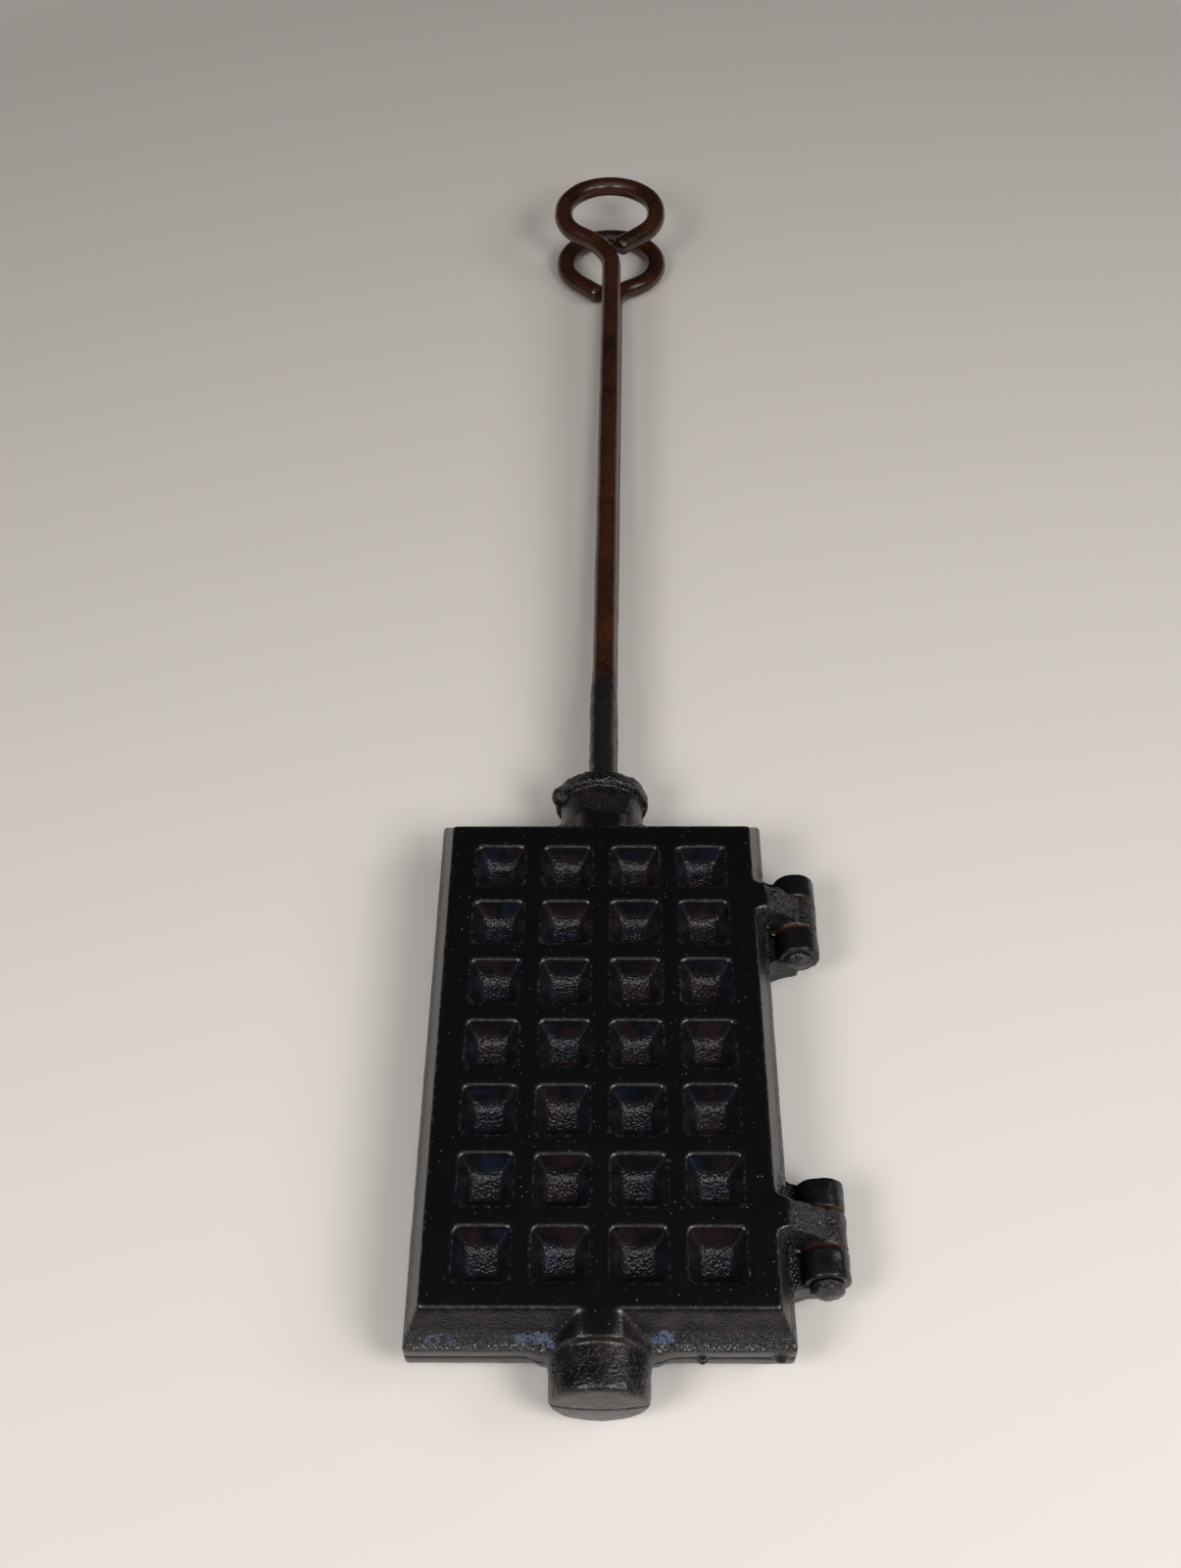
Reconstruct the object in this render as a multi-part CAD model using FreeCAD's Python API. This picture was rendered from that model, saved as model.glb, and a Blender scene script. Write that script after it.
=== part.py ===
import FreeCAD, Part
import math
import os

# Stovetop waffle iron: two cast iron plates hinged along one long side, each with a round
# trunnion half at both ends and a wrought handle rod cast into the far trunnion.
# All lengths are millimetres. The origin is the centre of the face that the closed iron
# rests on, +Z is up, +Y runs towards the handle loops and the hinges are on the +X side.

# Waffle grid
pit_columns = 4
pit_rows = 7
pit_pitch = 24.0
pit_opening = 17.7
pit_floor = 9.0
pit_depth = 8.5
pit_corner_radius = 1.8
pit_floor_corner_radius = 1.2
pit_row_shift = -0.7
floor_wall = 4.0
web_thickness = 5.0
stud_base = 19.0
stud_tip = 11.3
stud_corner_radius = 2.5
stud_tip_corner_radius = 1.6
batter_core = 11.0

# Plate body
face_margin_side = 9.15
face_margin_end = 8.25
face_corner_radius = 1.5
bevel_run_side = 3.0
bevel_run_end = 5.2
ledge_run_side = 2.3
ledge_run_end = 3.5
ledge_height = 4.5
rim_height = 5.5
rim_corner_radius = 3.0
rim_land_side = 7.0
rim_land_end = 9.8
cavity_draft_run = 3.5
cavity_corner_radius = 6.0
parting_gap = 0.3

# Trunnions
journal_radius = 15.4
shoulder_root_radius = 17.4
shoulder_tip_radius = 16.3
near_journal_length = 15.2
far_journal_length = 12.8
end_edge_radius = 1.4
end_dome_rise = 1.2
flange_radius = 17.7
flange_thickness = 5.8
flange_edge_radius = 1.2

# Hinges
hinge_spacing = 118.0
hinge_stand_off = 11.1
barrel_radius = 7.5
middle_knuckle_length = 12.2
outer_knuckle_length = 9.7
knuckle_gap = 0.4
arm_width = 10.0
arm_shoulder_run = 3.5
pin_radius = 3.5
pin_running_clearance = 0.08
pin_head_radius = 4.9
pin_head_height = 1.5

# Handles
rod_radius = 4.75
rod_height_above_parting = 7.5
socket_depth = 21.0
upper_handle_reach = 385.6
lower_handle_reach = 376.5
upper_loop_side_length = 3.0
lower_loop_side_length = 1.0
upper_loop_offset = -1.4
lower_loop_offset = 1.8
loop_centre_radius = 24.5
upper_loop_bend_radius = 32.0
lower_loop_bend_radius = 18.0
upper_loop_tail_length = 17.0
lower_loop_tail_length = 15.5
loop_end_angle = 46.0
handle_splay_angle = 0.74
upper_handle_lean_angle = 0.68
lower_handle_lean_angle = 0.76
upper_rod_offset = 0.2
lower_rod_offset = 0.8

# Working allowances
overlap = 0.5
overrun = 2.0

# Derived places
half_thickness = pit_depth + floor_wall + batter_core / 2
full_thickness = 2 * half_thickness
face_width = (pit_columns - 1) * pit_pitch + pit_opening + 2 * face_margin_side
face_length = (pit_rows - 1) * pit_pitch + pit_opening + 2 * face_margin_end
bevel_foot_width = face_width + 2 * bevel_run_side
bevel_foot_length = face_length + 2 * bevel_run_end
rim_width = bevel_foot_width + 2 * ledge_run_side
rim_length = bevel_foot_length + 2 * ledge_run_end
rim_plane = half_thickness + parting_gap / 2
rim_top = half_thickness + rim_height
bevel_foot = rim_top + ledge_height
web_inner = full_thickness - web_thickness
cavity_mouth_width = rim_width - 2 * rim_land_side
cavity_mouth_length = rim_length - 2 * rim_land_end
stud_plane = full_thickness - pit_depth - floor_wall
hinge_x = rim_width / 2 + hinge_stand_off
barrel_length = middle_knuckle_length + 2 * (outer_knuckle_length + knuckle_gap)
flange_front = rim_length / 2 + far_journal_length
flange_back = flange_front + flange_thickness

full_turn = 360
eighth_turn = math.pi / 4

X_AXIS = FreeCAD.Vector(1, 0, 0)
Y_AXIS = FreeCAD.Vector(0, 1, 0)
Z_AXIS = FreeCAD.Vector(0, 0, 1)


def point(x, y, z):
    return FreeCAD.Vector(x, y, z)


def box(low, high):
    size = high - low
    return Part.makeBox(size.x, size.y, size.z, low)


def rounded_rectangle(width, length, radius, z, centre):
    """Closed wire in a level plane, with a quarter arc at each corner."""
    edges = []
    half_width = width / 2
    half_length = length / 2
    corners = [(1, 1), (-1, 1), (-1, -1), (1, -1)]
    arcs = []
    for step, (side_x, side_y) in enumerate(corners):
        corner_x = centre[0] + side_x * (half_width - radius)
        corner_y = centre[1] + side_y * (half_length - radius)
        start = 2 * eighth_turn * step
        turn = [start, start + eighth_turn, start + 2 * eighth_turn]
        on_arc = [
            point(corner_x + radius * math.cos(angle), corner_y + radius * math.sin(angle), z)
            for angle in turn
        ]
        arcs.append(on_arc)
    for step, on_arc in enumerate(arcs):
        edges.append(Part.Arc(*on_arc).toShape())
        following = arcs[(step + 1) % len(arcs)]
        edges.append(Part.LineSegment(on_arc[2], following[0]).toShape())
    return Part.Wire(edges)


def tapered_block(sections):
    """Ruled solid through level rounded rectangles, each (width, length, radius, z, centre)."""
    wires = [rounded_rectangle(*section) for section in sections]
    return Part.makeLoft(wires, True, True)


def grid_places():
    """Centres of the pits, column by column."""
    for column in range(pit_columns):
        for row in range(pit_rows):
            x = (column - (pit_columns - 1) / 2) * pit_pitch
            y = (row - (pit_rows - 1) / 2) * pit_pitch + pit_row_shift
            yield x, y


def square_frustum(place, wide, narrow, reach_past_wide):
    """Square taper from the wide end (size, radius, z) to the narrow end, carried past the wide one."""
    wide_size, wide_radius, wide_z = wide
    narrow_size, narrow_radius, narrow_z = narrow
    height = abs(wide_z - narrow_z)
    upwards = 1 if wide_z > narrow_z else -1
    spread = (wide_size - narrow_size) / height * reach_past_wide
    sections = [
        (narrow_size, narrow_size, narrow_radius, narrow_z, place),
        (wide_size, wide_size, wide_radius, wide_z, place),
        (wide_size + spread, wide_size + spread, wide_radius, wide_z + upwards * reach_past_wide, place),
    ]
    return tapered_block(sections)


def plate_shell():
    """Bevelled outer body of the upper plate, hollowed for the batter."""
    centre = (0, 0)
    outer = tapered_block([
        (rim_width, rim_length, rim_corner_radius, rim_plane, centre),
        (rim_width, rim_length, rim_corner_radius, rim_top, centre),
        (bevel_foot_width, bevel_foot_length, face_corner_radius, bevel_foot, centre),
        (face_width, face_length, face_corner_radius, full_thickness, centre),
    ])
    cavity_depth = web_inner - rim_plane
    flare = cavity_draft_run / cavity_depth * overrun
    cavity = tapered_block([
        (cavity_mouth_width + 2 * flare, cavity_mouth_length + 2 * flare, cavity_corner_radius,
         rim_plane - overrun, centre),
        (cavity_mouth_width, cavity_mouth_length, cavity_corner_radius, rim_plane, centre),
        (cavity_mouth_width - 2 * cavity_draft_run, cavity_mouth_length - 2 * cavity_draft_run,
         cavity_corner_radius, web_inner, centre),
    ])
    return outer.cut(cavity)


def studs():
    """Square studs that press the pockets into the waffle."""
    return [
        square_frustum(
            place,
            (stud_base, stud_corner_radius, web_inner),
            (stud_tip, stud_tip_corner_radius, stud_plane),
            overlap,
        )
        for place in grid_places()
    ]


def pits():
    """Hollow backs of the studs, open in the outer face."""
    return [
        square_frustum(
            place,
            (pit_opening, pit_corner_radius, full_thickness),
            (pit_floor, pit_floor_corner_radius, full_thickness - pit_depth),
            overrun,
        )
        for place in grid_places()
    ]


def turned_solid(outline, axis_x):
    """Solid of revolution about a line along Y in the parting plane.

    Outline points are (distance along, radius, bulge). A bulge of None joins to the next point
    with a line, a number is how far the middle of the joining arc stands out from that line.
    """
    edges = []
    for here, following in zip(outline, outline[1:] + outline[:1]):
        start = point(axis_x, here[0], half_thickness + here[1])
        end = point(axis_x, following[0], half_thickness + following[1])
        if here[2] is None:
            edges.append(Part.LineSegment(start, end).toShape())
            continue
        along = end - start
        outward = point(0, -along.z, along.y)
        outward.normalize()
        middle = (start + end) * 0.5 + outward * here[2]
        edges.append(Part.Arc(start, middle, end).toShape())
    face = Part.Face(Part.Wire(edges))
    return face.revolve(point(axis_x, 0, half_thickness), Y_AXIS, full_turn)


def quarter_round_bulge(radius):
    """How far the middle of a quarter arc stands off its chord."""
    return radius * (1 - math.cos(eighth_turn))


def cap_bulge(rim_radius, height):
    """How far a dome's arc from pole to rim stands off its chord at the middle."""
    ball_radius = (rim_radius ** 2 + height ** 2) / (2 * height)
    return ball_radius * (1 - math.cos(math.asin(rim_radius / ball_radius) / 2))


def near_trunnion():
    """Shoulder and journal at the end away from the handles, with a domed end."""
    root = rim_length / 2 - rim_land_end + overlap
    shoulder_end = rim_length / 2
    tip = shoulder_end + near_journal_length
    edge_start = tip - end_dome_rise - end_edge_radius
    edge_end_radius = journal_radius - end_edge_radius
    solid = turned_solid([
        (root, 0, None),
        (root, shoulder_root_radius, None),
        (shoulder_end, shoulder_tip_radius, None),
        (shoulder_end, journal_radius, None),
        (edge_start, journal_radius, quarter_round_bulge(end_edge_radius)),
        (edge_start + end_edge_radius, edge_end_radius, cap_bulge(edge_end_radius, end_dome_rise)),
        (tip, 0, None),
    ], 0)
    return solid.mirror(point(0, 0, 0), Y_AXIS)


def far_trunnion():
    """Shoulder, journal and collar flange at the handle end."""
    root = rim_length / 2 - rim_land_end + overlap
    shoulder_end = rim_length / 2
    round_off = quarter_round_bulge(flange_edge_radius)
    return turned_solid([
        (root, 0, None),
        (root, shoulder_root_radius, None),
        (shoulder_end, shoulder_tip_radius, None),
        (shoulder_end, journal_radius, None),
        (flange_front, journal_radius, None),
        (flange_front, flange_radius - flange_edge_radius, round_off),
        (flange_front + flange_edge_radius, flange_radius, None),
        (flange_back - flange_edge_radius, flange_radius, round_off),
        (flange_back, flange_radius - flange_edge_radius, None),
        (flange_back, 0, None),
    ], 0)


def upper_half(solid):
    """What lies above the parting plane."""
    reach = solid.BoundBox
    low = point(reach.XMin - overrun, reach.YMin - overrun, rim_plane)
    high = point(reach.XMax + overrun, reach.YMax + overrun, reach.ZMax + overrun)
    return solid.common(box(low, high))


def mirrored_down(shape):
    return shape.mirror(point(0, 0, half_thickness), Z_AXIS)


def knuckle(centre_y, length, width, bore_radius):
    """Hinge barrel with the arm that joins it to the upper plate's side, flush with its face."""
    axis = point(hinge_x, centre_y, half_thickness)
    arm_root = rim_width / 2 - rim_land_side + overlap
    shoulder = point(face_width / 2 + arm_shoulder_run, centre_y, full_thickness)
    to_shoulder = shoulder - axis
    reach = math.hypot(to_shoulder.x, to_shoulder.z)
    tangent_angle = math.atan2(to_shoulder.z, to_shoulder.x) - math.acos(barrel_radius / reach)
    tangent = axis + point(
        barrel_radius * math.cos(tangent_angle), 0, barrel_radius * math.sin(tangent_angle))
    profile = [
        point(arm_root, centre_y, full_thickness),
        shoulder,
        tangent,
        point(hinge_x, centre_y, half_thickness),
        point(hinge_x - barrel_radius * math.cos(math.asin(parting_gap / 2 / barrel_radius)),
              centre_y, rim_plane),
        point(arm_root, centre_y, rim_plane),
    ]
    outline = Part.makePolygon(profile + profile[:1])
    arm = Part.Face(outline).extrude(Y_AXIS * width)
    arm.translate(Y_AXIS * (-width / 2))
    barrel_start = axis - Y_AXIS * (length / 2)
    barrel = Part.makeCylinder(barrel_radius, length, barrel_start, Y_AXIS)
    bore_start = axis - Y_AXIS * (length / 2 + overrun)
    bore = Part.makeCylinder(bore_radius, length + 2 * overrun, bore_start, Y_AXIS)
    return barrel.fuse(arm), bore


def hinge_centres():
    return [-hinge_spacing / 2, hinge_spacing / 2]


def middle_knuckles():
    bore_radius = pin_radius + pin_running_clearance
    return [knuckle(y, middle_knuckle_length, arm_width, bore_radius) for y in hinge_centres()]


def outer_knuckles():
    """The four knuckles of the lower plate, made upside down and mirrored."""
    shift = (middle_knuckle_length + outer_knuckle_length) / 2 + knuckle_gap
    pairs = []
    for centre in hinge_centres():
        for side in (-1, 1):
            place = centre + side * shift
            barrel, bore = knuckle(place, outer_knuckle_length, outer_knuckle_length, pin_radius)
            pairs.append((mirrored_down(barrel), mirrored_down(bore)))
    return pairs


def hinge_pin(centre_y):
    """Riveted pin: a straight shank with a domed head hammered on each end."""
    start = centre_y - barrel_length / 2
    end = centre_y + barrel_length / 2
    bulge = cap_bulge(pin_head_radius, pin_head_height)
    return turned_solid([
        (start - pin_head_height, 0, bulge),
        (start, pin_head_radius, None),
        (start, pin_radius, None),
        (end, pin_radius, None),
        (end, pin_head_radius, bulge),
        (end + pin_head_height, 0, None),
    ], hinge_x)


def loop_path(reach, side_length, loop_offset, bend_radius, tail_length):
    """Centre line of a handle laid flat: socket end, rod, bend, long-sided loop and tail."""
    bend_to_loop = bend_radius + loop_centre_radius
    bend_turn = math.acos((bend_radius + loop_offset) / bend_to_loop)
    near_centre = point(loop_offset, reach - side_length / 2, 0)
    far_centre = point(loop_offset, reach + side_length / 2, 0)
    bend_centre = point(-bend_radius, near_centre.y - bend_to_loop * math.sin(bend_turn), 0)
    tail_angle = -math.radians(loop_end_angle)

    def on_circle(centre, radius, angle):
        return centre + point(radius * math.cos(angle), radius * math.sin(angle), 0)

    def arc(centre, radius, first_angle, last_angle):
        angles = [first_angle, (first_angle + last_angle) / 2, last_angle]
        return Part.Arc(*[on_circle(centre, radius, angle) for angle in angles]).toShape()

    def line(start, end):
        return Part.LineSegment(start, end).toShape()

    tail_start = on_circle(near_centre, loop_centre_radius, tail_angle)
    tail = point(math.sin(tail_angle), -math.cos(tail_angle), 0) * tail_length
    side = point(loop_centre_radius, 0, 0)
    return Part.Wire([
        line(point(0, -socket_depth, 0), bend_centre + point(bend_radius, 0, 0)),
        arc(bend_centre, bend_radius, 0, bend_turn),
        arc(near_centre, loop_centre_radius, math.pi + bend_turn, math.pi),
        line(near_centre - side, far_centre - side),
        arc(far_centre, loop_centre_radius, math.pi, 0),
        line(far_centre + side, near_centre + side),
        arc(near_centre, loop_centre_radius, 0, tail_angle),
        line(tail_start, tail_start + tail),
    ])


def placed_on_flange(shape, rod_offset, lean_angle):
    """Tilts a flat handle up by the splay, leans it sideways and sets it in the upper half."""
    flange_point = point(rod_offset, flange_back, half_thickness + rod_height_above_parting)
    shape.rotate(point(0, 0, 0), X_AXIS, handle_splay_angle)
    shape.rotate(point(0, 0, 0), Z_AXIS, -lean_angle)
    shape.translate(flange_point)
    return shape


def handle_rod(path, rod_offset, lean_angle):
    """Round rod along a flat path, set in the upper half, bending towards -X first."""
    start = point(0, -socket_depth, 0)
    section = Part.Wire(Part.makeCircle(rod_radius, start, Y_AXIS))
    rod = path.makePipeShell([section], True, False)
    return placed_on_flange(rod, rod_offset, lean_angle)


def rod_socket(rod_offset, lean_angle):
    """Space that the cast-in end of a rod takes up in the upper half."""
    start = point(0, -socket_depth, 0)
    hole = Part.makeCylinder(rod_radius, socket_depth + overrun, start, Y_AXIS)
    return placed_on_flange(hole, rod_offset, lean_angle)


def lower_side(shape, rod_offset):
    """Turns a shape made for the upper half into the lower one, its loop bending the other way."""
    down = mirrored_down(shape)
    centre = point(rod_offset, 0, 0)
    return down.mirror(centre, X_AXIS)


def plate(knuckles, socket):
    """One plate in the upper place: body, studs, pits, trunnion halves, knuckles and rod socket."""
    body = plate_shell().fuse(studs())
    body = body.fuse([upper_half(near_trunnion()), upper_half(far_trunnion())])
    body = body.fuse([barrel for barrel, bore in knuckles])
    body = body.cut(pits() + [bore for barrel, bore in knuckles] + [socket])
    return body.removeSplitter()


def upper_plate():
    return plate(middle_knuckles(), rod_socket(upper_rod_offset, upper_handle_lean_angle))


def lower_plate():
    knuckles = [(mirrored_down(barrel), mirrored_down(bore)) for barrel, bore in outer_knuckles()]
    socket = lower_side(rod_socket(lower_rod_offset, -lower_handle_lean_angle), lower_rod_offset)
    return mirrored_down(plate(knuckles, mirrored_down(socket)))


def upper_handle():
    path = loop_path(upper_handle_reach, upper_loop_side_length, upper_loop_offset,
                     upper_loop_bend_radius, upper_loop_tail_length)
    return handle_rod(path, upper_rod_offset, upper_handle_lean_angle)


def lower_handle():
    path = loop_path(lower_handle_reach, lower_loop_side_length, lower_loop_offset,
                     lower_loop_bend_radius, lower_loop_tail_length)
    rod = handle_rod(path, lower_rod_offset, -lower_handle_lean_angle)
    return lower_side(rod, lower_rod_offset)


def write(name, shape):
    solids = shape.Solids
    result = solids[0] if len(solids) == 1 else Part.makeCompound(solids)
    reach = result.BoundBox
    print(name, "solids", len(solids), "valid", result.isValid(), "volume", round(result.Volume),
          "box", [round(value, 1) for value in (reach.XMin, reach.YMin, reach.ZMin,
                                                reach.XMax, reach.YMax, reach.ZMax)])
    result.exportStep(os.path.join("parts", name + ".step"))


os.makedirs("parts", exist_ok=True)
near_hinge_y, far_hinge_y = hinge_centres()
write("upper_plate", upper_plate())
write("lower_plate", lower_plate())
write("upper_handle", upper_handle())
write("lower_handle", lower_handle())
write("near_hinge_pin", hinge_pin(near_hinge_y))
write("far_hinge_pin", hinge_pin(far_hinge_y))
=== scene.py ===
import ast
import math

import bpy
from mathutils import Matrix, Vector


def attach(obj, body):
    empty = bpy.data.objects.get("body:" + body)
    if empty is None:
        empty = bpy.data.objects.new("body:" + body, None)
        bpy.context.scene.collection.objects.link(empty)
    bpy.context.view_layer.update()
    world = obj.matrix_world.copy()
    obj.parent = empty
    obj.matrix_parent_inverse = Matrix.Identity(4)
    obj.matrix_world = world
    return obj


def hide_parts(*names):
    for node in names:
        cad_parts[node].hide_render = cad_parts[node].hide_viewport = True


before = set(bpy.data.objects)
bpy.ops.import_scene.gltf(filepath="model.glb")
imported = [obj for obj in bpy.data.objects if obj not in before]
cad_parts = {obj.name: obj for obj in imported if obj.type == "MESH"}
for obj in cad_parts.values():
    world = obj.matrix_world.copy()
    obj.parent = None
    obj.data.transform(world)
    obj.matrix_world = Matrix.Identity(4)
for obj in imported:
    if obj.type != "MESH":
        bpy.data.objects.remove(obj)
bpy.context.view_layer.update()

MM = 0.001

# Castings, in millimetres. Heights are counted from the parting plane between the two plates.
CASTING = {
    "parting_height": 18.0,
    "parting_gap": 0.3,
    "rim_half_width": 59.3,
    "rim_half_length": 97.8,
    "rim_height": 5.8,
    "ledge_height": 4.6,
    "ledge_run_side": 2.3,
    "ledge_run_end": 4.1,
    "bevel_height": 7.6,
    "bevel_run_side": 3.0,
    "bevel_run_end": 4.6,
    "half_thickness": 18.0,
    "corner_blend": 1.8,
    "edge_blend": 0.8,
    "ledge_blend": 0.9,
    "crest_blend": 1.5,
    "arris_blend": 0.55,
    "columns": 4.0,
    "rows": 7.0,
    "pitch": 24.0,
    "row_shift": -0.7,
    "pit_floor": 9.0,
    "pit_depth": 8.5,
    "pit_run": 4.35,
    "pit_corner_blend": 3.0,
    "pit_floor_blend": 2.4,
    "pit_arris_blend": 0.45,
    "pit_stray": 0.35,
    "stud_tip": 11.3,
    "stud_plane": 5.5,
    "stud_height": 7.5,
    "stud_run": 3.85,
    "stud_blend": 2.6,
    "cavity_half_width": 52.3,
    "cavity_half_length": 88.0,
    "cavity_draft": 0.272,
    "cavity_corner_blend": 9.0,
    "web_plane": 13.0,
    "journal_radius": 15.4,
    "journal_lumps": 0.5,
    "shoulder_radius": 17.7,
    "shoulder_taper": 0.08,
    "shoulder_top": 5.8,
    "flank_run": 0.766,
    "flank_rise": 0.643,
    "far_shoulder_drop": 1.4,
    "trunnion_root": 80.0,
    "near_tip": 113.0,
    "end_dome_rise": 1.2,
    "end_edge_blend": 2.8,
    "step_blend": 0.9,
    "cove_blend": 9.0,
    "cove_taper": 0.85,
    "flange_front": 110.6,
    "flange_back": 116.4,
    "flange_radius": 17.7,
    "flange_blend": 2.4,
    "flange_lumps": 1.6,
    "hinge_x": 70.4,
    "hinge_half_spacing": 59.0,
    "barrel_radius": 7.5,
    "barrel_half_length": 6.1,
    "bore_radius": 3.6,
    "knuckle_offset": 0.0,
    "knuckle_gap_place": 6.3,
    "knuckle_lumps": 1.1,
    "arm_half_width": 5.0,
    "arm_root": 52.8,
    "arm_top_run": 12.906,
    "arm_blend": 1.5,
    "arm_drop": 0.0,
    "arm_drop_run": 8.0,
    "arm_lumps": 0.9,
    "gusset_blend": 6.0,
    "hinge_side_x": 57.0,
    "hinge_side_reach": 15.0,
    "hinge_side_fade": 3.0,
    "hinge_side_lumps": 2.0,
    "lump_size": 5.0,
    "waviness": 0.35,
    "waviness_size": 11.0,
    "roughness": 0.3,
    "roughness_size": 2.4,
    "drip_x": 54.5,
    "drip_y": -97.4,
    "drip_high": 0.4,
    "drip_radius": 2.4,
    "scab_x": -15.2,
    "scab_y": 112.8,
    "scab_high": 5.0,
    "scab_radius": 4.0,
    "bead_x": 0.1,
    "bead_y": 82.6,
    "bead_high": 15.7,
    "bead_radius": 2.8,
    "lump_blend": 1.4,
    "worn_reach": 0.55,
    "rust_reach": 0.9,
    "side": 1.0,
    "seed": 1.0,
    "margin": 1.6,
    "voxel": 0.64,
}
LOWER_CASTING = {
    "side": -1.0,
    "seed": 2.0,
    "knuckle_offset": 11.35,
    "arm_drop": 1.0,
    "gusset_blend": 6.5,
    "arm_half_width": 5.6,
    "barrel_half_length": 4.85,
    "drip_x": 31.0,
    "drip_y": -97.6,
    "drip_high": 1.2,
    "drip_radius": 1.8,
    "scab_x": 11.8,
    "scab_y": 113.4,
    "scab_high": 11.5,
    "scab_radius": 4.2,
    "bead_x": -28.4,
    "bead_y": -41.0,
    "bead_radius": 2.6,
}
MOST_TRIANGLES = 196000

# Distance from the skin of a casting before its pits are cut, negative inside the iron
BLANK_FIELD = """
high = side * (z - parting_height)
wide = abs(x)
long = abs(y)
end_x = wide - rim_half_width
end_y = long - rim_half_length
over_rim = high - rim_height
over_ledge = over_rim - ledge_height

# Rim, ledge and bevel, steeper at the sides than at the ends
ledge_slope_x = sqrt(ledge_height ** 2 + ledge_run_side ** 2)
ledge_slope_y = sqrt(ledge_height ** 2 + ledge_run_end ** 2)
ledge_x = (end_x * ledge_height + over_rim * ledge_run_side) / ledge_slope_x
ledge_y = (end_y * ledge_height + over_rim * ledge_run_end) / ledge_slope_y
bevel_slope_x = sqrt(bevel_height ** 2 + bevel_run_side ** 2)
bevel_slope_y = sqrt(bevel_height ** 2 + bevel_run_end ** 2)
bevel_x = ((end_x + ledge_run_side) * bevel_height + over_ledge * bevel_run_side) / bevel_slope_x
bevel_y = ((end_y + ledge_run_end) * bevel_height + over_ledge * bevel_run_end) / bevel_slope_y
side_x = smooth_max(end_x, smooth_min(ledge_x, bevel_x, ledge_blend), edge_blend)
side_y = smooth_max(end_y, smooth_min(ledge_y, bevel_y, ledge_blend), crest_blend)
body = smooth_max(side_x, side_y, corner_blend)

# Half of each trunnion: shoulder, journal and end, and at the far end the collar flange
radial = sqrt(x ** 2 + high ** 2)
drop = far_shoulder_drop * share(y)
flank = (wide - shoulder_top) * flank_run + (high - half_thickness + drop) * flank_rise
shoulder = smooth_max(radial - shoulder_radius + drop + shoulder_taper * end_y, flank, edge_blend)
shoulder = smooth_max(shoulder, end_y, edge_blend)
journal = radial - journal_radius + journal_lumps * lumps
near_end = 0 - y - near_tip + end_dome_rise * (radial / journal_radius) ** 2
near = smooth_min(smooth_max(journal, near_end, end_edge_blend), shoulder, step_blend)
lumpy = radial - flange_radius + flange_lumps * lumps
flange = smooth_max(smooth_max(lumpy, flange_front - y, flange_blend), y - flange_back, flange_blend)
scab = sqrt((x - scab_x) ** 2 + (y - scab_y) ** 2 + (high - scab_high) ** 2) - scab_radius
flange = smooth_min(flange, max(scab, y - flange_back), lump_blend)
far = smooth_min(smooth_min(max(journal, y - flange_back), shoulder, step_blend), flange, edge_blend)
trunnions = min(max(near, trunnion_root + y), max(far, trunnion_root - y))

# Knuckles on arms. The top of an arm runs from the face to a tangent of the barrel.
arm_span = sqrt(arm_top_run ** 2 + half_thickness ** 2)
tangent_cos = barrel_radius / arm_span
tangent_sin = sqrt(1 - tangent_cos ** 2)
tangent_x = (half_thickness * tangent_sin - arm_top_run * tangent_cos) / arm_span
tangent_z = (half_thickness * tangent_cos + arm_top_run * tangent_sin) / arm_span
from_hinge = abs(long - hinge_half_spacing)
along = abs(from_hinge - knuckle_offset)
from_axle = sqrt((x - hinge_x) ** 2 + high ** 2)
barrel_side = from_axle - barrel_radius + knuckle_lumps * lumps
barrel = smooth_max(barrel_side, along - barrel_half_length, edge_blend)
arm_top = (x - hinge_x) * tangent_x + high * tangent_z - barrel_radius + arm_lumps * lumps
arm_top = arm_top + arm_drop * share((hinge_x - x) / arm_drop_run)
arm = max(max(arm_top, along - arm_half_width), max(x - hinge_x, arm_root - x))
knuckles = smooth_min(barrel, arm, arm_blend)

# All of it run together, ground flat on the face, with the drip and the bead left by the mould
cove = cove_blend * (1 - cove_taper * share(high / half_thickness))
blank = smooth_min(smooth_min(body, trunnions, cove), knuckles, gusset_blend)
drip = sqrt((x - drip_x) ** 2 + (y - drip_y) ** 2 + (high - drip_high) ** 2) - drip_radius
blank = smooth_max(smooth_min(blank, drip, lump_blend), high - half_thickness, arris_blend)
bead = sqrt((x - bead_x) ** 2 + (y - bead_y) ** 2 + (high - bead_high) ** 2) - bead_radius
blank = smooth_min(blank, bead, lump_blend)

column = min(max(floor(x / pitch + columns / 2), 0), columns - 1)
row = min(max(floor((y - row_shift) / pitch + rows / 2), 0), rows - 1)
cell_x = x - (column - (columns - 1) / 2) * pitch
cell_y = y - row_shift - (row - (rows - 1) / 2) * pitch
"""

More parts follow.
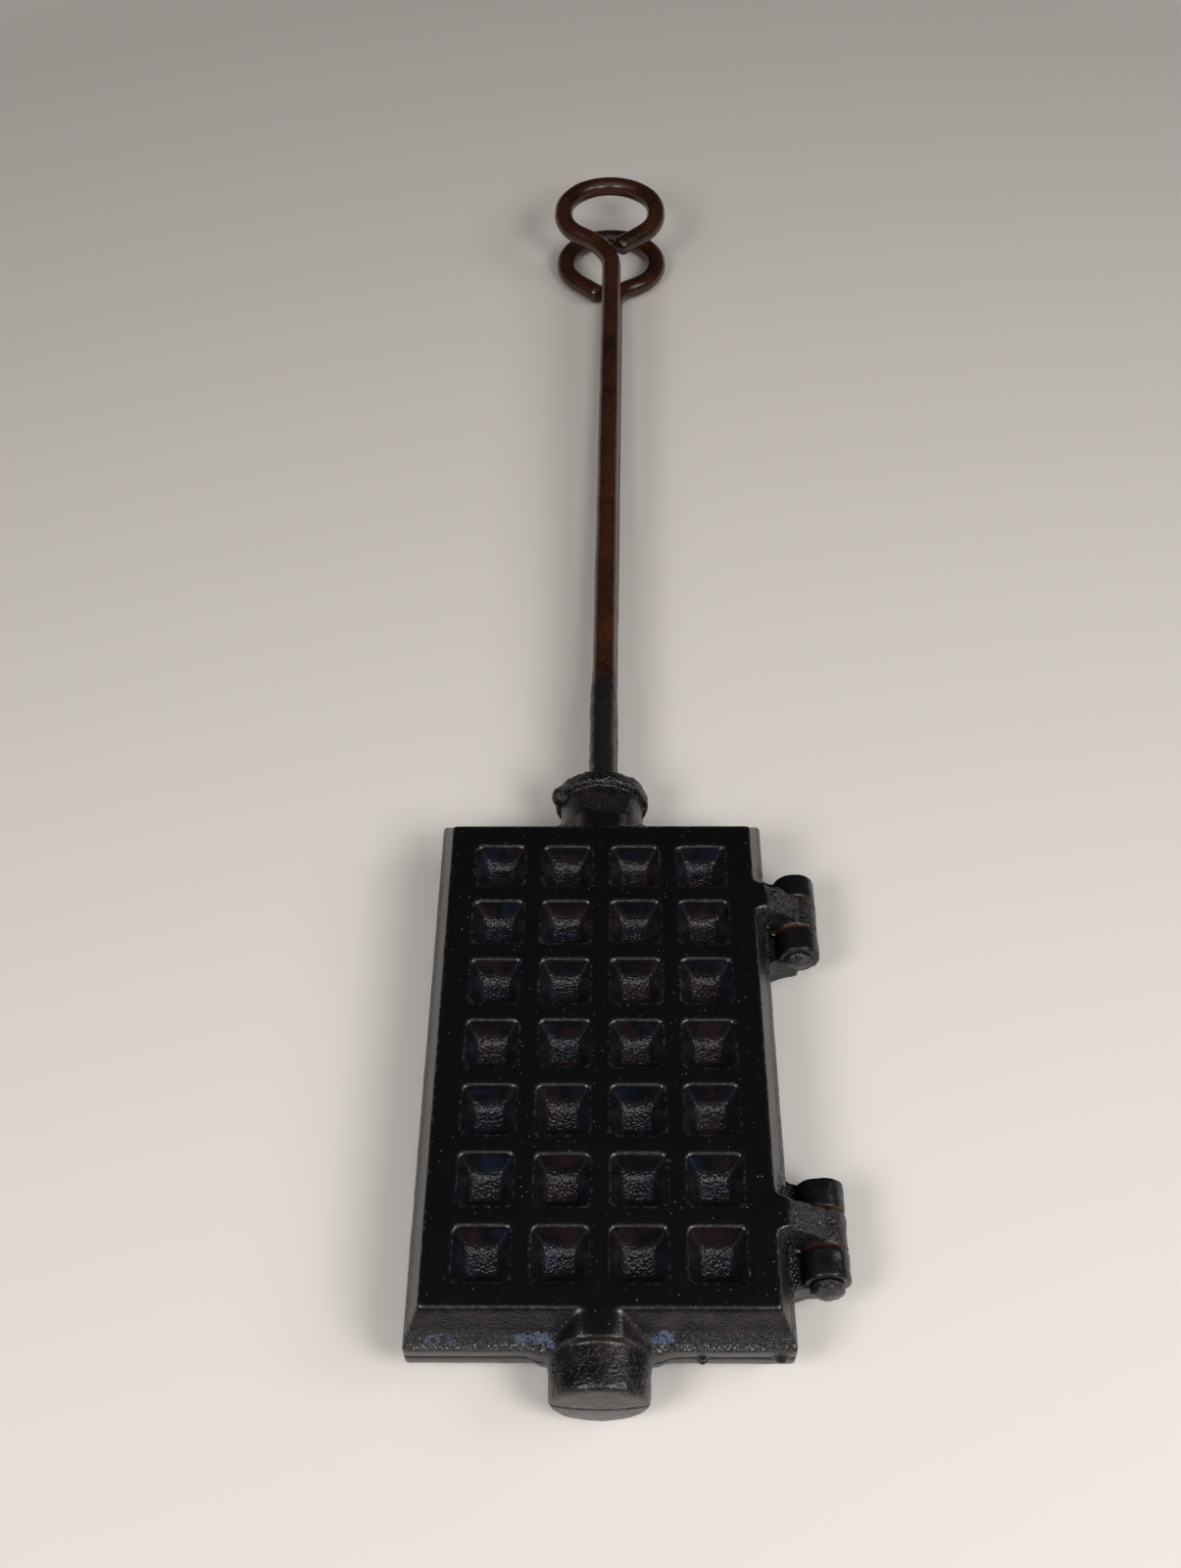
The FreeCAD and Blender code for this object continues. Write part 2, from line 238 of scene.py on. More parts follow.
# Pits, each a little off its place, and the cooking side with a stud behind each pit
PIT_FIELD = """
stray_x = (random_x - 0.5) * pit_stray
stray_y = (random_y - 0.5) * pit_stray
pit_plane = half_thickness - pit_depth + (random_z - 0.5) * pit_stray
pit_slope = sqrt(pit_depth ** 2 + pit_run ** 2)
above_pit = (high - pit_plane) * pit_run
pit_x = ((abs(cell_x + stray_x) - pit_floor / 2) * pit_depth - above_pit) / pit_slope
pit_y = ((abs(cell_y + stray_y) - pit_floor / 2) * pit_depth - above_pit) / pit_slope
pit = smooth_max(smooth_max(pit_x, pit_y, pit_corner_blend), pit_plane - high, pit_floor_blend)

stud_slope = sqrt(stud_height ** 2 + stud_run ** 2)
above_tip = (high - stud_plane) * stud_run
stud_x = ((abs(cell_x) - stud_tip / 2) * stud_height - above_tip) / stud_slope
stud_y = ((abs(cell_y) - stud_tip / 2) * stud_height - above_tip) / stud_slope
stud = smooth_max(smooth_max(stud_x, stud_y, stud_blend), stud_plane - high, edge_blend)
draft = cavity_draft * high
cavity_x = wide - cavity_half_width + draft
cavity_y = long - cavity_half_length + draft
cavity = smooth_max(smooth_max(cavity_x, cavity_y, cavity_corner_blend), high - web_plane, stud_blend)
hollow = smooth_max(cavity, 0 - stud, stud_blend)
smooth_casting = smooth_max(smooth_max(blank, 0 - pit, pit_arris_blend), 0 - hollow, edge_blend)
"""

# Marks from 0 to 1 for the kinds of skin, with the distances in millimetres over which they fade
SKIN_MARKS = """
skin = 1.5
round_skin = 1.6
cooking_skin = 1.4
cooking_fade = 0.5
face_skin = 1.3
face_fade = 0.9
grain_top = 3.75
grain_fade = 2.5
ledge_spread = 1.15
ledge_sharpness = 4
knuckle_fade = 2.5
barrel_fade = 1.5
trunnion_fade = 2
half_ledge = ledge_height / 2
face = share((high - half_thickness + face_skin) / face_fade)
cooking = share((cooking_skin - abs(hollow)) / cooking_fade)
pitted = share(skin - abs(pit)) * (1 - face)
grainy = pitted * share((grain_top - high + pit_plane) / grain_fade)
ledge_band = share((ledge_spread - abs(over_rim - half_ledge) / half_ledge) * ledge_sharpness)
ledge = ledge_band * share(skin - abs(body))
collar = share(round_skin - abs(flange))
knuckle = share(max(1 - (from_axle - barrel_radius) / knuckle_fade, (skin - abs(arm)) * (1 - face)))
trunnion_skin = share(round_skin - abs(trunnions)) * share((long - rim_half_length) / trunnion_fade)
rugged = share(1 - max(from_hinge - hinge_side_reach, hinge_side_x - x) / hinge_side_fade)
rugged = rugged * (1 - face) * share((from_axle - barrel_radius) / barrel_fade)
"""

# Sand leaves the collar roughest and the cooking side smoothest. Grinding leaves the face smooth.
ROUGH_FIELD = """
rough = 0.25 + 0.35 * pitted + 0.6 * ledge + 1.6 * collar + knuckle + 0.8 * trunnion_skin
rough = rough * roughness * (1 - 0.7 * cooking) * (1 - face * (1 - knuckle))
casting = smooth_casting + lumps * hinge_side_lumps * rugged
casting = casting + waves * waviness * (1 - 0.6 * face) + grain * rough
casting = min(smooth_max(casting, parting_gap / 2 - high, edge_blend), barrel + grain * rough)
casting = max(casting, bore_radius - from_axle)
density = 0 - casting
"""

# Marks from 0 to 1 for worn arrises, which also carry painted highlight lines, for chalky residue and for
# rust between knuckles
# The arrises of pits and face are marked for pale wear and for painted highlight lines
WEAR_AND_SHEEN_MARKS = """
pit_wear = 0.6
wear_clearance = 0.6
near_start = 91
near_fade = 2
splash_strength = 1.4
splash_reach = 6
left_splash_reach = 8
splash_from_shoulder = 1.5
splash_middle = 3.4
splash_half_height = 2.6
thin_residue = 0.3
left_thin_residue = 0.33
residue_edge = 1.5
crest_half_height = 1.1
crest_middle = 0.9
rust_skin = 0.2
rim_of_pit = 1 - (abs(pit) + abs(high - half_thickness)) / worn_reach
rim_of_face = 1 - (abs(body) + abs(high - half_thickness)) / worn_reach
worn_edge = share(max(rim_of_pit * pit_wear, rim_of_face))
worn_edge = worn_edge * share(min(trunnions, knuckles) - wear_clearance)
crest = ledge * share(crest_half_height - abs(over_rim - crest_middle))
at_near_end = share((0 - y - near_start) / near_fade) * share(rim_half_length + residue_edge + y)
leftward = share(0 - x)
splash_x = (wide - shoulder_radius - splash_from_shoulder) / (splash_reach + left_splash_reach * leftward)
splash_z = (over_rim - splash_middle) / splash_half_height
splash = splash_strength - sqrt(splash_x ** 2 + splash_z ** 2)
thin = (thin_residue + left_thin_residue * leftward) * ledge_band * share((0 - y - near_start) / near_fade)
residue = share(max(splash, thin)) * at_near_end
bare = knuckle * max(side, 0)
knuckle_gap = abs(from_hinge - knuckle_gap_place) + max(from_axle - barrel_radius + rust_skin, 0)
rust = share(1 - knuckle_gap / rust_reach)
"""
CASTING_MARKS = ("face", "cooking", "pitted", "grainy", "ledge", "collar", "worn_edge", "crest", "residue",
                 "knuckle", "trunnion_skin", "rugged", "bare", "rust")

# Corners of the box that holds one casting
CASTING_REACH = """
low_x = 0 - rim_half_width - margin
low_y = 0 - near_tip - margin
low_z = parting_height - max(barrel_radius, 0 - side * half_thickness) - margin
high_x = hinge_x + barrel_radius + margin
high_y = flange_back + margin
high_z = parting_height + max(barrel_radius, side * half_thickness) + margin
"""
GRID_COUNTS = """
count_x = floor((high_x - low_x) / voxel)
count_y = floor((high_y - low_y) / voxel)
count_z = floor((high_z - low_z) / voxel)
"""
OUTSIDE_DENSITY = -5.0

# A loose crumb of a casting or pin has fewer points than this
CRUMB_POINTS = 500.0

# Riveted hinge pin in millimetres, with a head peened over at each end
PIN = {
    "axle_x": 70.4,
    "axle_z": 18.0,
    "middle_y": -59.0,
    "hinge_half_width": 16.25,
    "shank_radius": 3.45,
    "shank_half_length": 17.0,
    "shank_blend": 0.4,
    "head_radius": 5.2,
    "head_blend": 1.1,
    "head_lumps": 2.4,
    "near_head_centre": 15.9,
    "near_head_height": 4.6,
    "near_head_dome": 0.05,
    "near_head_lumps": 1.6,
    "far_head_centre": 15.9,
    "far_head_height": 1.7,
    "far_head_dome": 0.03,
    "far_head_lumps": 0.7,
    "crater_depth": 0.0,
    "crater_radius": 2.6,
    "lump_size": 3.4,
    "roughness": 0.45,
    "roughness_size": 1.3,
    "seed": 5.0,
    "margin": 1.5,
    "voxel": 0.36,
}
FAR_PIN = {
    "middle_y": 59.0,
    "head_radius": 4.9,
    "near_head_height": 2.6,
    "crater_depth": 0.8,
    "seed": 6.0,
}
PIN_FIELD = """
along = y - middle_y
radial = sqrt((x - axle_x) ** 2 + (z - axle_z) ** 2)
shank = max(radial - shank_radius, abs(along) - shank_half_length)
near_cap = abs(0 - along - near_head_centre) - near_head_height + near_head_dome * radial ** 2
crater = crater_depth * max(1 - (radial / crater_radius) ** 2, 0)
far_cap = abs(along - far_head_centre) - far_head_height + far_head_dome * radial ** 2 + crater
disc = radial - head_radius + lumps * head_lumps
near_head = smooth_max(disc, near_cap + lumps * near_head_lumps, head_blend)
far_head = smooth_max(disc, far_cap - lumps * far_head_lumps, head_blend)
heads = max(min(near_head, far_head), hinge_half_width - abs(along))
pin = smooth_min(shank, heads, shank_blend) + grain * roughness
density = 0 - pin
"""
PIN_REACH = """
low_x = axle_x - head_radius - margin
low_y = middle_y - near_head_centre - near_head_height - margin
low_z = axle_z - head_radius - margin
high_x = axle_x + head_radius + margin
high_y = middle_y + far_head_centre + far_head_height + margin
high_z = axle_z + head_radius + margin
"""

# Forged handle rods, in millimetres
ROD = {
    "radius": 4.75,
    "ring_spacing": 1.3,
    "ring_points": 26.0,
    "end_round": 1.1,
    "hammer_depth": 0.5,
    "hammer_size": 13.0,
    "scale_depth": 0.16,
    "scale_size": 3.0,
    "paint_end": 176.0,
    "paint_fade": 14.0,
    "paint_stray": 60.0,
    "paint_thickness": 0.4,
    "paint_lumps": 1.1,
    "paint_lump_size": 4.5,
    "seed": 8.0,
}
ROD_RINGS = "step = ring_spacing / millimetres"
ROD_RADIUS = """
to_end = min(from_start, whole - from_start) * millimetres
hollow_end = max(end_round - to_end, 0)
rod_radius = (radius - end_round + sqrt(max(end_round ** 2 - hollow_end ** 2, 0))) / millimetres
"""
ROD_SURFACE = """
painted = share((paint_end - y * millimetres + hammered * paint_stray) / paint_fade)
paint = painted * (paint_thickness + blobs * paint_lumps)
push = (hammered * hammer_depth + scaly * scale_depth + paint) / millimetres
"""
HANDLES = {
    "upper_handle": {
        "reach": 385.6, "side": 3.0, "offset": -1.4, "bend_radius": 32.0, "tail": 17.0,
        "rod_offset": 0.2, "lean": 0.68, "lower": False, "seed": 8.0},
    "lower_handle": {
        "reach": 376.5, "side": 1.0, "offset": 1.8, "bend_radius": 18.0, "tail": 15.5,
        "rod_offset": 0.8, "lean": -0.76, "lower": True, "seed": 9.0},
}
LOOP_RADIUS = 24.5
LOOP_END_ANGLE = math.radians(46.0)
SPLAY = math.radians(0.74)
ROD_ROOT = 21.0
ROD_HEIGHT = 7.5
ARC_STEP = 1.2

OPERATIONS = {
    ast.Add: "ADD", ast.Sub: "SUBTRACT", ast.Mult: "MULTIPLY", ast.Div: "DIVIDE", ast.Pow: "POWER",
    "abs": "ABSOLUTE", "sqrt": "SQRT", "floor": "FLOOR", "min": "MINIMUM", "max": "MAXIMUM",
    "smooth_min": "SMOOTH_MIN", "smooth_max": "SMOOTH_MAX",
}


def add(tree, kind, inputs=None, **settings):
    """Adds a node with its settings, and fills its inputs with values or links them to sockets."""
    node = tree.nodes.new(kind)
    for name, value in settings.items():
        setattr(node, name, value)
    for name, value in (inputs or {}).items():
        if isinstance(value, bpy.types.Node):
            value = value.outputs[0]
        if isinstance(value, bpy.types.NodeSocket):
            tree.links.new(value, node.inputs[name])
        else:
            node.inputs[name].default_value = value
    return node


def formulas(tree, text, names):
    """Turns lines of arithmetic into nodes. Names holds the sockets they read and takes their results."""
    def result(part):
        if isinstance(part, ast.Constant):
            return float(part.value)
        if isinstance(part, ast.Name):
            return names[part.id]
        if isinstance(part, ast.BinOp):
            word, parts = type(part.op), [part.left, part.right]
        else:
            word, parts = part.func.id, part.args
        values = [result(each) for each in parts]
        if word == "share":
            return add(tree, "ShaderNodeClamp", {"Value": values[0]}).outputs[0]
        return add(tree, "ShaderNodeMath", dict(enumerate(values)), operation=OPERATIONS[word]).outputs[0]

    for line in ast.parse(text).body:
        names[line.targets[0].id] = result(line.value)


def placed(name, data):
    """New object with this data, in the scene."""
    piece = bpy.data.objects.new(name, data)
    bpy.context.collection.objects.link(piece)
    return piece


def new_tree(name, sizes, takes_geometry=False):
    """Starts a geometry tree with one input per size and returns it with its sockets by name."""
    tree = bpy.data.node_groups.new(name, "GeometryNodeTree")
    tree.interface.new_socket("Geometry", in_out="OUTPUT", socket_type="NodeSocketGeometry")
    if takes_geometry:
        tree.interface.new_socket("Geometry", in_out="INPUT", socket_type="NodeSocketGeometry")
    for size, value in sizes.items():
        socket = tree.interface.new_socket(size, in_out="INPUT", socket_type="NodeSocketFloat")
        socket.default_value = value
    group_input = add(tree, "NodeGroupInput")
    return tree, {socket.name: socket for socket in group_input.outputs if socket.name}


def unevenness(tree, names, sizes, millimetres=1.0):
    """Adds noise between about -0.5 and 0.5 to the names, each as coarse as the size named for it."""
    place = add(tree, "GeometryNodeInputPosition")
    for name, size in sizes.items():
        fineness = add(tree, "ShaderNodeMath", {0: millimetres, 1: names[size]}, operation="DIVIDE")
        noise = add(tree, "ShaderNodeTexNoise", {
            "Vector": place, "W": names["seed"], "Scale": fineness, "Detail": 1.0},
            noise_dimensions="4D")
        names[name] = add(tree, "ShaderNodeMath", {0: noise, 1: 0.5}, operation="SUBTRACT").outputs[0]
    names["x"], names["y"], names["z"] = add(tree, "ShaderNodeSeparateXYZ", {0: place}).outputs


def finished(tree, geometry, material):
    """Ends a geometry tree with smooth faces in one material."""
    smooth = add(tree, "GeometryNodeSetShadeSmooth", {0: geometry})
    real = add(tree, "GeometryNodeRealizeInstances", {0: smooth})
    painted = add(tree, "GeometryNodeSetMaterial", {"Geometry": real, "Material": material})
    add(tree, "NodeGroupOutput", {0: painted})
    return tree


def skin_of_field(tree, names, reach, marks, material):
    """Wraps a skin round the inside of a field of distances in millimetres and marks its points."""
    formulas(tree, reach + GRID_COUNTS, names)
    low = add(tree, "ShaderNodeCombineXYZ", {0: names["low_x"], 1: names["low_y"], 2: names["low_z"]})
    high = add(tree, "ShaderNodeCombineXYZ", {0: names["high_x"], 1: names["high_y"], 2: names["high_z"]})
    volume = add(tree, "GeometryNodeVolumeCube", {
        "Density": names["density"], "Background": OUTSIDE_DENSITY, "Min": low, "Max": high,
        "Resolution X": names["count_x"], "Resolution Y": names["count_y"],
        "Resolution Z": names["count_z"]})
    skin = add(tree, "GeometryNodeVolumeToMesh", {"Volume": volume, "Threshold": 0.0, "Adaptivity": 0.0})
    island = add(tree, "GeometryNodeInputMeshIsland")
    island_points = add(tree, "GeometryNodeAccumulateField", {"Group ID": island.outputs["Island Index"]})
    crumb = add(tree, "ShaderNodeMath", {0: island_points.outputs["Total"], 1: CRUMB_POINTS},
                operation="LESS_THAN")
    skin = add(tree, "GeometryNodeDeleteGeometry", {"Geometry": skin, "Selection": crumb})
    for mark in marks:
        skin = add(tree, "GeometryNodeStoreNamedAttribute", {
            "Geometry": skin, "Name": mark, "Value": names[mark]}, data_type="FLOAT")
    metres = add(tree, "GeometryNodeTransform", {"Geometry": skin, "Scale": (MM, MM, MM)})
    return finished(tree, metres, material)


def casting_tree(material):
    """Geometry tree for a plate with its pits, studs, trunnions and knuckles."""
    tree, names = new_tree("plate_casting", CASTING)
    unevenness(tree, names, {"lumps": "lump_size", "waves": "waviness_size", "grain": "roughness_size"})
    formulas(tree, BLANK_FIELD, names)
    cell = add(tree, "ShaderNodeCombineXYZ", {0: names["column"], 1: names["row"], 2: names["seed"]})
    chance = add(tree, "ShaderNodeTexWhiteNoise", {"Vector": cell}, noise_dimensions="3D")
    parts = add(tree, "ShaderNodeSeparateXYZ", {0: chance.outputs["Color"]})
    names["random_x"], names["random_y"], names["random_z"] = parts.outputs
    formulas(tree, PIT_FIELD + SKIN_MARKS + ROUGH_FIELD + WEAR_AND_SHEEN_MARKS, names)
    return skin_of_field(tree, names, CASTING_REACH, CASTING_MARKS, material)


def pin_tree(material):
    """Geometry tree for a hinge pin with hammered heads."""
    tree, names = new_tree("riveted_pin", PIN)
    unevenness(tree, names, {"lumps": "lump_size", "grain": "roughness_size"})
    formulas(tree, PIN_FIELD, names)
    return skin_of_field(tree, names, PIN_REACH, (), material)


def rod_tree(material):
    """Geometry tree that forges a round rod along its centre line, with hammered flats and scale."""
    tree, names = new_tree("forged_rod", ROD, takes_geometry=True)
    names["millimetres"] = 1 / MM
    formulas(tree, ROD_RINGS, names)
    line = add(tree, "GeometryNodeResampleCurve", {"Curve": names["Geometry"], "Length": names["step"]},
               mode="LENGTH")
    names["from_start"] = add(tree, "GeometryNodeSplineParameter").outputs["Length"]
    names["whole"] = add(tree, "GeometryNodeSplineLength").outputs["Length"]
    formulas(tree, ROD_RADIUS, names)
    line = add(tree, "GeometryNodeSetCurveRadius", {"Curve": line, "Radius": names["rod_radius"]})
    ring = add(tree, "GeometryNodeCurvePrimitiveCircle", {
        "Resolution": names["ring_points"], "Radius": 1.0})
    swept = add(tree, "GeometryNodeCurveToMesh", {
        "Curve": line, "Profile Curve": ring, "Fill Caps": True, "Scale": names["rod_radius"]})
    unevenness(tree, names, {"hammered": "hammer_size", "scaly": "scale_size", "blobs": "paint_lump_size"},
               names["millimetres"])
    formulas(tree, ROD_SURFACE, names)
    outward = add(tree, "GeometryNodeInputNormal")
    offset = add(tree, "ShaderNodeVectorMath", {0: outward, "Scale": names["push"]}, operation="SCALE")
    forged = add(tree, "GeometryNodeSetPosition", {"Geometry": swept, "Offset": offset})
    marked = add(tree, "GeometryNodeStoreNamedAttribute", {
        "Geometry": forged, "Name": "painted", "Value": names["painted"]}, data_type="FLOAT")
    return finished(tree, marked, material)


def made_by_tree(name, tree, sizes, start=None):
    """Runs a geometry tree once with its own sizes and keeps the result as a plain mesh object."""
    blank = placed(name + "_blank", start or bpy.data.meshes.new(name + "_blank"))
    modifier = blank.modifiers.new("tree", "NODES")
    modifier.node_group = tree
    for item in tree.interface.items_tree:
        if item.name in sizes:
            modifier[item.identifier] = sizes[item.name]
    return plain(name, blank)


def plain(name, blank):
    """Plain mesh object with what the modifiers of a blank make of it. The blank goes."""
    depsgraph = bpy.context.evaluated_depsgraph_get()
    mesh = bpy.data.meshes.new_from_object(blank.evaluated_get(depsgraph), depsgraph=depsgraph)
    piece = placed(name, mesh)
    bpy.data.objects.remove(blank)
    return piece


def thinned(name, piece, most_triangles):
    """The same piece with no more triangles than it may have, fewest where it is flat."""
    piece.data.calc_loop_triangles()
    share = most_triangles / len(piece.data.loop_triangles)
    if share >= 1:
        piece.name = name
        return piece
    modifier = piece.modifiers.new("fewer", "DECIMATE")
    modifier.ratio = share
    return plain(name, piece)


def arc_points(centre, radius, first_angle, last_angle):
    """Points on an arc, one for about each millimetre."""
    count = max(2, math.ceil(abs(last_angle - first_angle) * radius / ARC_STEP))
    turns = [first_angle + (last_angle - first_angle) * step / count for step in range(count + 1)]
    return [centre + radius * Vector((math.cos(turn), math.sin(turn), 0)) for turn in turns]


def handle_line(sizes):
    """Centre line of a handle in metres: straight rod, bend, loop and short tail."""
    to_loop = sizes["bend_radius"] + LOOP_RADIUS
    bend_turn = math.acos((sizes["bend_radius"] + sizes["offset"]) / to_loop)
    near_centre = Vector((sizes["offset"], sizes["reach"] - sizes["side"] / 2, 0))
    far_centre = Vector((sizes["offset"], sizes["reach"] + sizes["side"] / 2, 0))
    bend_centre = Vector((-sizes["bend_radius"], near_centre.y - to_loop * math.sin(bend_turn), 0))
    tail = sizes["tail"] * Vector((-math.sin(LOOP_END_ANGLE), -math.cos(LOOP_END_ANGLE), 0))
    points = [Vector((0, -ROD_ROOT, 0))]
    points += arc_points(bend_centre, sizes["bend_radius"], 0, bend_turn)
    points += arc_points(near_centre, LOOP_RADIUS, math.pi + bend_turn, math.pi)[1:]
    points += arc_points(far_centre, LOOP_RADIUS, math.pi, 0)
    points += arc_points(near_centre, LOOP_RADIUS, 0, -LOOP_END_ANGLE)
    points.append(points[-1] + tail)
    lean = Matrix.Rotation(math.radians(-sizes["lean"]), 4, "Z")
    place = Matrix.Translation((sizes["rod_offset"], CASTING["flange_back"], ROD_HEIGHT))
    place = place @ lean @ Matrix.Rotation(SPLAY, 4, "X")
    line = [place @ point for point in points]
    if sizes["lower"]:
        line = [Vector((2 * sizes["rod_offset"] - point.x, point.y, -point.z)) for point in line]
    centre_height = Vector((0, 0, CASTING["parting_height"]))
    return [(point + centre_height) * MM for point in line]


def rod_curve(name, points):
    """Poly curve along a handle's centre line."""
    curve = bpy.data.curves.new(name, "CURVE")
    curve.dimensions = "3D"
    spline = curve.splines.new("POLY")
    spline.points.add(len(points) - 1)
    spline.points.foreach_set("co", [value for point in points for value in (*point, 1.0)])
    return curve


def linear(colour):
    """Linear values of an sRGB colour written as a hex string."""
    values = [int(colour[place:place + 2], 16) / 255 for place in (1, 3, 5)]
    return [value / 12.92 if value <= 0.04045 else ((value + 0.055) / 1.055) ** 2.4
            for value in values] + [1.0]


def new_finish(name):
    """Starts a material and returns it with its tree and the Object coordinates."""
    material = bpy.data.materials.new(name)
    material.use_nodes = True
    return material, material.node_tree, add(material.node_tree, "ShaderNodeTexCoord").outputs["Object"]


def surfaced(tree, names, base, layers, relief):
    """Finishes a material with its colour in layers, its roughness and its relief, all named before."""
    colour = linear(base)
    for tint, share in layers:
        colour = add(tree, "ShaderNodeMix", {0: names[share], 6: colour, 7: linear(tint)},
                     data_type="RGBA").outputs[2]
    raised = add(tree, "ShaderNodeBump", {"Height": names["bumps"], "Distance": relief, "Strength": 1.0})
    shader = tree.nodes["Principled BSDF"]
    for socket, source in (("Base Color", colour), ("Roughness", names["roughness"]),
                           ("Normal", raised.outputs[0])):
        tree.links.new(source, shader.inputs[socket])


# Where each tint lies on the iron, how it shines and how it stands out. The noises lie about 0.5.
# Broken pale lines on arrises, partly worn paint and partly painted highlight, and painted glints as bright
# grains on the crest of the ledge and on the collar
# Dots of dust of many sizes, most of them on the face, partly painted glints
IRON_FINISH = """
# Iron left as cast, and iron that loose sand has made coarse
as_cast = (1 - face) * (1 - 0.75 * cooking)
coarse = share(0.85 * ledge + 0.9 * crest + 0.3 * collar + 0.1 * trunnion_skin + 0.6 * rugged)
plain_skin = as_cast * (1 - pitted) * (1 - 0.7 * knuckle)

# Flecks of crust, brown streaks of oil, and a purple and a blue bloom in the pits
flecked = 0.06 + 0.05 * collar + 0.3 * bare + 0.3 * trunnion_skin + 0.3 * rugged
crust = share((fine - 0.6) * 10) * as_cast * flecked
streaks = share((patches - 0.45) * 4) * as_cast * (1 - pitted) * (1 - knuckle) * (1 - ledge)
mauve = pitted * share((patches - 0.5) * 6)
blued = pitted * share((0.49 - patches) * 6)

# Broken pale lines on worn arrises, and bright grains on the crest of the ledge
worn_line = worn_edge * share((grit - 0.48) * 7) * 0.4
grains = share((fine - 0.57) * 14)
worn = max(worn_line, grains * min(crest + 0.05 * collar, 1))

# Dots of dust of many sizes, most of them on the face
dot_radius = 0.05 + 0.09 * dot_size
dot = share((dot_radius - dot_distance) * 40) * share((dot_chance - 0.2) * 50)
dust = dot * (0.13 + 0.6 * dot_size ** 4) * (1 - 0.8 * as_cast)

# Chalky residue in crumbs, and rust between the knuckles
chalk = share((0.55 * residue + 0.5 * patches + 0.5 * grit - 0.9) * 8) * share(residue * 5)
chalk = chalk * (0.4 + 0.6 * share((fine - 0.42) * 8))
rusty = rust * share((patches - 0.35) * 4)

patchy = 0.12 * patches * (1 - coarse) * (1 - pitted)
roughness = 0.17 + 0.08 * as_cast + 0.15 * crust + patchy + 0.2 * chalk + 0.06 * bare - 0.05 * coarse
fine_relief = fine * (0.2 * plain_skin + 0.16 * pitted + 0.6 * grainy + 0.3 * bare + 0.3 * ledge)
coarse_relief = grit * (0.02 + 0.17 * plain_skin + 0.5 * bare + 0.1 * trunnion_skin)
bumps = fine_relief + coarse_relief - 0.6 * coarse * pebble ** 2
"""
# Size in millimetres and detail of each noise on the iron
IRON_NOISES = {"grit": (1.4, 2.0), "fine": (0.8, 1.0), "patches": (10.0, 4.0)}
PEBBLE_SIZE = 1.3
DOT_SPACING = 1.7


def seasoned_cast_iron():
    """Grey iron poured in a sand mould, its face ground flat, seasoned black with baked oil."""
    # Smooth near-black face with fine white dust and painted glints, sparkling sandy pits and ledges,
    # bright arrises that are partly worn and partly painted highlight.
    # The sand is drawn coarser than real grains, which would be too fine to show.
    material, tree, place = new_finish("seasoned_cast_iron")
    names = {}
    for name, (size, detail) in IRON_NOISES.items():
        noise = add(tree, "ShaderNodeTexNoise", {
            "Vector": place, "Scale": 1 / (size * MM), "Detail": detail})
        names[name] = noise.outputs["Fac"]
    pebbles = add(tree, "ShaderNodeTexVoronoi", {
        "Vector": place, "Scale": 1 / (PEBBLE_SIZE * MM), "Detail": 1.0, "Roughness": 0.6})
    names["pebble"] = pebbles.outputs["Distance"]
    dots = add(tree, "ShaderNodeTexVoronoi", {"Vector": place, "Scale": 1 / (DOT_SPACING * MM)})
    dot_kind = add(tree, "ShaderNodeSeparateColor", {0: dots.outputs["Color"]})
    names["dot_distance"] = dots.outputs["Distance"]
    names["dot_chance"], names["dot_size"] = dot_kind.outputs[0], dot_kind.outputs[1]
    for mark in CASTING_MARKS:
        names[mark] = add(tree, "ShaderNodeAttribute", attribute_name=mark).outputs["Fac"]
    formulas(tree, IRON_FINISH, names)
    # The pale grey layer is partly wear and partly painted highlight on the arrises, and painted glints on
    # the crest grains
    surfaced(tree, names, "#0c0c0e", (
        ("#0d0d10", "as_cast"), ("#22171a", "mauve"), ("#151a28", "blued"), ("#2b2321", "streaks"),
        ("#191314", "bare"), ("#54535c", "crust"), ("#9b9997", "worn"), ("#515f7b", "chalk"),
        # The pale dust dots are partly painted glints
        ("#5b3420", "rusty"), ("#8f8f8f", "dust")), 0.8 * MM)
    return material


def forged_rod_iron():
    """Wrought iron rod, hammered hot and oiled."""
    # Red-brown oxide with a soft shine and pale flecks, covered with lumpy black paint near the collar
    material, tree, place = new_finish("forged_rod_iron")
    scale = add(tree, "ShaderNodeTexNoise", {"Vector": place, "Scale": 1 / (1.6 * MM), "Detail": 3.0})
    patches = add(tree, "ShaderNodeTexNoise", {"Vector": place, "Scale": 1 / (18.0 * MM), "Detail": 4.0})
    painted = add(tree, "ShaderNodeAttribute", attribute_name="painted")
    names = {"scale": scale.outputs["Fac"], "patches": patches.outputs["Fac"],
             "painted": painted.outputs["Fac"]}
    formulas(tree, """
dark = share((patches - 0.42) * 4)
flecks = share((scale - 0.6) * 8) * (1 - painted)
roughness = 0.16 + 0.16 * scale + 0.1 * painted
bumps = scale * (1 + 2.5 * painted)
""", names)
    layers = (("#23120c", "dark"), ("#54382b", "flecks"), ("#1b1819", "painted"))
    surfaced(tree, names, "#3f2113", layers, 0.08 * MM)
    return material


